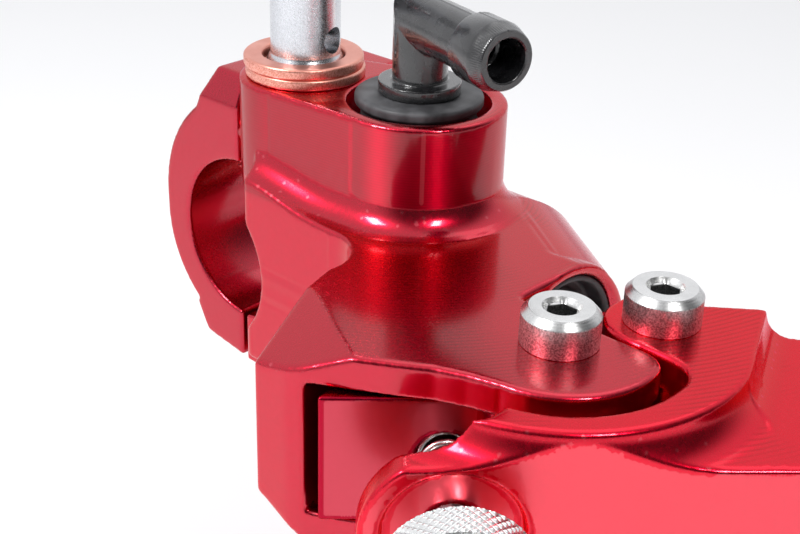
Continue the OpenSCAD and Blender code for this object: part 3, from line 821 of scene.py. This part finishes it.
def make_clamp_screws():
    """Two socket screws, as one piece like their node."""
    lo, hi = box_mm("clamp_screws")
    head_r, length = 4.2, hi[1] - lo[1]
    socket = [(0, 2.6), (2.3, 2.6, "hex"), (2.3, 0.35, "hex"), (2.75, 0.0)]
    outer = round_corners([
        (2.75, 0.0), (head_r - 0.4, 0.0), (head_r, 0.4), (head_r, 4.9), (head_r - 0.1, 5.0), (2.5, 5.0),
        (2.5, length - 0.5), (2.0, length),
    ], 0.12)
    parts = []
    for side in (-1, 1):
        place = place_at(((lo[0] + hi[0]) / 2, lo[1], side * (hi[2] - head_r)), (0, 1, 0))
        parts.append(lathe("clamp_screw_part", socket + outer + [(0, length)], place, 96))
    bm = bmesh.new()
    for part in parts:
        mesh = part.data
        mesh.transform(part.matrix_world)
        bm.from_mesh(mesh)
        bpy.data.objects.remove(part)
    mesh = bpy.data.meshes.new("clamp_socket_screws")
    bm.to_mesh(mesh)
    bm.free()
    obj = linked("clamp_socket_screws", mesh)
    finished(obj, "clamp_screws", "steel", 25, ["clamp_screws"])


def thread(turns_per_mm, depth):
    """Screw thread, as the shape of a lathe's profile."""
    def shape(angles, radius, z):
        phase = (z * turns_per_mm - angles / (2 * math.pi)) % 1
        return radius - depth * np.abs(phase * 2 - 1)
    return shape


def make_banjo_bolt():
    """Hollow bolt with a cross hole, a flanged head and a long hexagon."""
    lo, hi = box_mm("banjo_bolt")
    bottom = lo[2]
    thread_r, thread_z = 4.4, (bottom + 0.7, 26.2)
    steps = [
        (0, bottom + 14), (1.75, bottom + 14), (1.75, bottom + 0.2), (2.1, bottom),
        (3.7, bottom), (4.25, bottom + 0.6),
    ]
    threads = [(thread_r, z) for z in np.arange(*thread_z, 0.09)]
    flange_z, hex_r, hex_end = 45.04, 5.98, hi[2] - 0.5
    upper = round_corners([
        (thread_r, 26.3), (4.85, 26.6), (4.35, 27.5), (4.35, 37.4), (4.75, 37.95), (4.75, 43.6),
        (7.0, 43.6), (7.2, 43.8), (7.2, 44.8), (7.0, 45.0), (hex_r, 45.05), (hex_r, hex_end), (5.3, hi[2]),
    ], 0.15)
    hexed = [
        (r, z, "hex") if flange_z < z < hex_end + 0.1 and r > 5.9 else (r, z)
        for r, z in upper
    ]
    shape = thread(1.0, 0.5)

    def grooved(angles, radius, z):
        on_thread = thread_z[0] <= z < thread_z[1] and radius.max() < 4.45 and radius.min() > 4.3
        return shape(angles, radius, z) if on_thread else radius

    profile = steps + threads + hexed + [(0, hi[2])]
    obj = lathe("banjo_bolt_turned", profile, place_at((0, 0, 0)), shape=grooved)
    cross_hole = [(0, -9), (1.65, -9), (1.65, 9), (0, 9)]
    cut(obj, lathe("cutter", cross_hole, place_at((0, 0, 29.6), level_way(100)), 48))
    obj.matrix_world = Matrix.Translation(Vector((*OUTLET, 0)) * MM)
    finished(obj, "banjo_bolt", "bolt_silver", 25, ["banjo_bolt"])


def closed_ring(corners, radius):
    """Closed profile with its corners rounded."""
    return round_corners(corners + corners[:2], radius)[1:-1]


def make_washer(name, node):
    lo, hi = box_mm(node)
    outer, inner, t = (hi[0] - lo[0]) / 2, 5.15, hi[2] - lo[2]
    e = 0.22                        # chamfer
    profile = closed_ring([
        (inner, e), (inner + e, 0), (outer - e, 0), (outer, e),
        (outer, t - e), (outer - e, t), (inner + e, t), (inner, t - e),
    ], 0.14)
    obj = lathe(name, profile, place_at((*middle(node)[:2], lo[2])), 160, closed=True)
    # each washer is pressed a little unevenly
    for v in obj.data.vertices:
        a = math.atan2(v.co.y, v.co.x)
        v.co.x *= 1 + 0.002 * math.sin(3 * a + t)
        v.co.z += 0.00002 * math.sin(2 * a + lo[2]) * (1 if v.co.z > 0.0007 else 0)
    finished(obj, node, "copper", 30, [node])


# ---- inlet ----
def make_grommet():
    top = box_mm("inlet_grommet")[1][2]
    profile = closed_ring([
        (3.9, 0.0), (5.6, 0.02), (7.1, -0.02), (7.62, -0.16), (7.8, -0.45), (7.8, -1.2), (7.55, -1.5),
        (7.0, -1.6), (7.0, -4.2), (8.1, -4.3), (8.1, -8.4), (3.9, -8.4),
    ], 0.16)
    obj = lathe("grommet_ring", profile, place_at((*INLET, top)), 144, closed=True)
    finished(obj, "inlet_grommet", "grommet_rubber", 40, ["inlet_grommet"])


def make_elbow():
    """Elbow with a mould line along its pipe and a serrated cone at the mouth."""
    start = np.array([*INLET, ELBOW_Z])
    shapes = [upright(INLET, r) for r in (3.35, 5.0)]
    shapes += [round_bar(start, ELBOW_DIR, r) for r in (3.35, 3.95, 2.5, 2.0)]
    obj = fine_copy("elbow_tube", "inlet_elbow", 0.13, 3, shapes)
    line_height, line_width = 0.07, 0.13
    points = points_of(obj.data) - start
    across, along = points @ np.cross(UP, ELBOW_DIR), points @ ELBOW_DIR
    raised = (points[:, 2] > 2.6) & (along > -2)
    points[:, 2] += np.where(raised, line_height * np.exp(-(across / line_width) ** 2), 0)
    move_points(obj.data, points + start)
    finished(obj, "inlet_elbow", "elbow_plastic", 50, ["inlet_elbow"])

    notches, notch_depth = 86, 0.035

    def notched(angles, radius, z):
        depth = notch_depth * (0.5 + 0.5 * np.cos(angles * notches))
        return radius - (depth if 15.9 < z < 17 else 0)

    profile = [
        (2.55, 16.2), (2.52, 17.1), (2.7, 17.31), (3.3, 17.32), (3.43, 17.2), (3.5, 16.95), (3.55, 16.8),
        (3.7, 16.3), (3.85, 15.75), (3.96, 15.4), (3.97, 15.2), (3.97, 11.75), (3.9, 11.57), (3.4, 11.57),
    ]
    ring = lathe("elbow_mouth", profile, place_at(start, ELBOW_DIR), notches * 8, shape=notched)
    finished(ring, "inlet_elbow", "elbow_plastic", 40)


# ---- cylinder's mouth ----
def make_boot():
    """Bellows seal between the cylinder's mouth and the pushrod."""
    seat = 45.1
    outline = [
        (10.35, 45.1), (10.35, 49.3), (10.1, 49.5), (9.7, 49.4), (9.5, 49.0), (9.45, 47.2), (9.2, 46.9),
        (8.4, 46.9), (8.0, 47.3), (7.6, 47.4), (7.1, 47.1), (6.9, 46.8), (6.2, 46.9), (5.8, 47.7),
        (5.4, 48.05), (3.9, 48.05), (3.45, 47.7), (3.4, 46.3), (5.2, 46.2), (6.0, 45.6), (7.0, 45.2),
    ]
    profile = closed_ring([(r, y - seat) for r, y in outline], 0.25)
    obj = lathe("boot_bellows", profile, place_at((0, seat, 0), (0, 1, 0)), 144, closed=True)
    finished(obj, "dust_boot", "rubber", 40, ["dust_boot"])


# ---- adjuster ----
def make_knob():
    """Knurled knob: rows of small diamonds between two chamfers."""
    lo, hi = box_mm("adjuster_knob")
    knob_r = (hi[2] - lo[2]) / 2
    # rear and front faces along the diagonal
    back, front = 72.8, 77.4
    start = KNOB_AXIS - DIAGONAL * (KNOB_AXIS @ DIAGONAL)
    length = front - back
    diamonds, slant, groove_depth = 46, 0.95, 0.22

    def knurled(angles, radius, z):
        if not (0.45 < z < length - 0.5):
            return radius
        turns = angles * diamonds / (2 * math.pi)
        a, b = (turns + z * slant) % 1, (turns - z * slant) % 1
        groove = np.minimum(np.abs(a * 2 - 1), np.abs(b * 2 - 1))
        return radius - groove_depth * (1 - np.clip(groove / 0.75, 0, 1))

    rear = [(0, -5.6), (2.9, -5.6), (3.0, -5.4), (3.0, -0.05), (6.9, 0.0), (knob_r - 0.12, 0.4)]
    rows = [(knob_r, z) for z in np.arange(0.46, length - 0.5, 0.065)]
    face = round_corners([
        (knob_r - 0.1, length - 0.48), (knob_r - 0.75, length), (3.1, length),
        (2.8, length - 0.35), (2.35, length - 0.6), (2.0, length - 0.6),
    ], 0.1)
    profile = rear + rows + face + [(0, length - 0.6)]
    place = place_at(start + DIAGONAL * back, DIAGONAL)
    obj = lathe("knob_knurled", profile, place, diamonds * 10, shape=knurled)
    finished(obj, "adjuster_knob", "knob_steel", 50, ["adjuster_knob"])


def make_adjuster_screw():
    """Stud with a thread at each end and a thin neck between them."""
    lo, hi = box_mm("adjuster_screw")
    stud_r = 2.0
    length = (hi[0] - lo[0] - 2 * stud_r * math.sqrt(0.5)) / math.sqrt(0.5)
    start = KNOB_AXIS - DIAGONAL * length / 2
    rear = [(stud_r, z) for z in np.arange(0.5, 6.3, 0.07)]
    neck = [(1.55, 6.5), (1.55, 20.0)]
    front = [(stud_r, z) for z in np.arange(20.3, length - 0.4, 0.07)]
    tip = [(1.9, length - 0.35), (1.5, length), (0, length)]
    profile = [(0, 0), (1.5, 0), (1.9, 0.4)] + rear + neck + front + tip
    shape = thread(1.43, 0.34)

    def grooved(angles, radius, z):
        return shape(angles, radius, z) if radius.max() > 1.95 else radius

    obj = lathe("adjuster_stud", profile, place_at(start, DIAGONAL), 72, shape=grooved)
    finished(obj, "adjuster_screw", "steel", 40, ["adjuster_screw"])


def make_adjuster_spring():
    """Close wound helical spring round the stud."""
    lo, hi = box_mm("adjuster_spring")
    r, wire = 2.62, 0.32
    turns, pitch, steps = 4.9, 1.95, 60
    along = Matrix(place_at((0, 0, 0), DIAGONAL).to_3x3())
    points = []
    for i in range(int(turns * steps) + 1):
        a = 2 * math.pi * i / steps
        points.append(Vector((r * math.cos(a), r * math.sin(a), pitch * (i / steps - turns / 2))))
    start = KNOB_AXIS + DIAGONAL * (((lo + hi) / 2 - KNOB_AXIS) @ DIAGONAL)
    obj = tube("spring_coils", [np.array(along @ p) + start for p in points], wire, 16)
    finished(obj, "adjuster_spring", "spring_wire", 60, ["adjuster_spring"])


# ---- nodes kept as the frame has them ----
KEPT = {
    "piston": "piston_metal", "primary_seal": "seal_rubber", "secondary_seal": "seal_rubber",
    "return_spring": "spring_wire", "stop_washer": "steel", "circlip": "steel",
    "pushrod": "steel", "pushrod_locknut": "steel", "trunnion": "bronze",
    "pivot_bush": "bronze", "pivot_nut": "steel", "reach_bush": "bronze", "reach_nut": "steel",
    "adjuster_barrel": "bronze",
}


def finish_kept():
    """Eased edges and a finish on the nodes that keep their own mesh."""
    for node, material in KEPT.items():
        obj = NODES[node]
        obj.data.materials.clear()
        obj.data.materials.append(MATERIALS[material])
        if node != "return_spring":
            weld = obj.modifiers.new("weld", "WELD")
            weld.merge_threshold = 2e-6
            ease = obj.modifiers.new("ease", "BEVEL")
            ease.width = 0.12 * MM
            ease.segments = 2
            ease.limit_method = "ANGLE"
            ease.angle_limit = math.radians(38)


make_body()
make_clamp()
make_carrier()
make_lever()
make_pivot_screw("pivot_screw_head", "pivot_screw")
make_pivot_screw("reach_screw_head", "reach_screw")
make_clamp_screws()
make_banjo_bolt()
make_washer("washer_lower", "copper_washer_lower")
make_washer("washer_upper", "copper_washer_upper")
make_grommet()
make_elbow()
make_boot()
make_knob()
make_adjuster_screw()
make_adjuster_spring()
finish_kept()


# ---- studio ----
def floor():
    g = Graph("floor_paper")
    g.set(Base_Color=g.colours(g.noise(6, 3), (0.93, 0.93, 0.935), (0.95, 0.95, 0.955)), Roughness=0.9)
    size, depth = 6000, box_mm("body")[0][2] - 40
    corners = [(x * size, y * size, depth) for x, y in ((-1, -1), (1, -1), (1, 1), (-1, 1))]
    obj = new_object("floor", corners, [(0, 1, 2, 3)])
    obj.data.materials.append(g.material)


def softbox(name, azimuth, elevation, distance, width, height, power, colour=(1, 1, 1)):
    """Area light that looks at the object from an azimuth and elevation, in degrees; sizes in metres."""
    data = bpy.data.lights.new(name, "AREA")
    data.shape = "RECTANGLE"
    data.size, data.size_y = width, height
    data.energy = power
    data.color = colour
    obj = linked(name, data)
    a, e = math.radians(azimuth), math.radians(elevation)
    away = Vector((math.cos(a) * math.cos(e), math.sin(a) * math.cos(e), math.sin(e)))
    obj.location = Vector((0.0, 0.03, 0.01)) + away * distance
    obj.rotation_euler = away.to_track_quat("Z", "Y").to_euler()


DARK_SIDE = level_way(75)


def studio():
    world = bpy.data.worlds.new("studio")
    world.use_nodes = True
    # white all round, but for the dark side of the room
    tree = world.node_tree
    background = tree.nodes["Background"]
    toward = tree.nodes.new("ShaderNodeVectorMath")
    toward.operation = "DOT_PRODUCT"
    tree.links.new(tree.nodes.new("ShaderNodeTexCoord").outputs["Generated"], toward.inputs[0])
    toward.inputs[1].default_value = DARK_SIDE
    shade = tree.nodes.new("ShaderNodeMapRange")
    shade.interpolation_type = "SMOOTHSTEP"
    for socket, value in zip(list(shade.inputs)[1:5], (0.05, 0.62, 0.88, 0.08)):
        socket.default_value = value
    tree.links.new(toward.outputs["Value"], shade.inputs[0])
    tree.links.new(shade.outputs[0], background.inputs[1])
    background.inputs[0].default_value = (0.965, 0.972, 1, 1)
    bpy.context.scene.world = world
    softbox("key", -20, 48, 0.55, 0.12, 0.18, 1.8)
    softbox("strip", 72, 46, 0.55, 0.07, 0.16, 1.05)
    softbox("top", 200, 62, 0.8, 0.5, 0.5, 0.6)
    bpy.context.scene.view_settings.view_transform = "Standard"


def camera():
    data = bpy.data.cameras.new("camera")
    data.sensor_width, data.lens = 36, 63
    data.clip_start, data.clip_end = 0.005, 20
    obj = linked("camera", data)
    pitch, roll = math.radians(26.6), math.radians(1.7)
    level = Vector((-0.743, -0.669, 0)).normalized()
    right = Vector((level.y, -level.x, 0))
    forward = level * math.cos(pitch) - Vector((0, 0, 1)) * math.sin(pitch)
    up = level * math.sin(pitch) + Vector((0, 0, 1)) * math.cos(pitch)
    x = right * math.cos(roll) + up * math.sin(roll)
    y = up * math.cos(roll) - right * math.sin(roll)
    turn = Matrix((x, y, -forward)).transposed().to_4x4()
    obj.matrix_world = Matrix.Translation((0.1167, 0.1295, 0.0817)) @ turn
    bpy.context.scene.camera = obj


floor()
studio()
camera()
